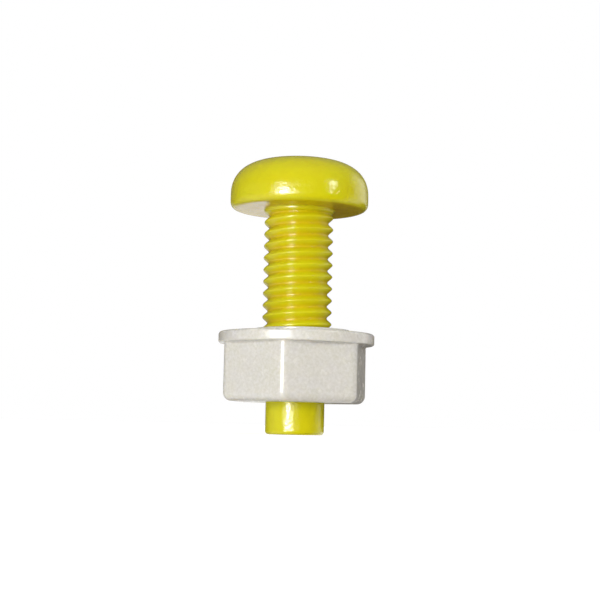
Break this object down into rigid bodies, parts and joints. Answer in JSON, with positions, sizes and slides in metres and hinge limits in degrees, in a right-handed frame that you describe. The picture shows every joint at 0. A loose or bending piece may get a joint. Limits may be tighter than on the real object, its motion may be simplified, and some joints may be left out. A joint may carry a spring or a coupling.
{
  "type": "fence insulator bolt and nut",
  "caption": "Moulded plastic insulating bolt with a domed head, coarse thread and plain pilot tip, with a thin thrust washer and a flanged hexagon nut.",
  "frame": {"origin": "centre of the end face of the bolt's plain tip", "axes": "+Z along the bolt towards its head; the nut has two corners on Y and two flats square to X"},
  "size_m": [0.0276, 0.0276, 0.0489],
  "materials": {
    "yellow_plastic": "glossy moulded plastic, yellow right through",
    "natural_plastic": "semi-gloss natural white plastic, slightly translucent"
  },
  "bodies": {
    "bolt": {"threaded_bolt": "yellow_plastic"},
    "washer": {"thrust_washer": "natural_plastic"},
    "nut": {"flanged_hex_nut": "natural_plastic"}
  },
  "joints": [
    {"name": "nut_travel", "type": "slide", "parent": "bolt", "child": "washer", "axis": [0, 0, 1], "range_m": [-0.0056, 0.0212]},
    {"name": "nut_turn", "type": "hinge", "parent": "washer", "child": "nut", "pos_m": [0, 0, 0], "axis": [0, 0, 1], "range_deg": [-950, 3600]}
  ],
  "couplings": [
    {"joint": "nut_travel", "follows": "nut_turn", "m_per_rad": 0.00033688}
  ]
}
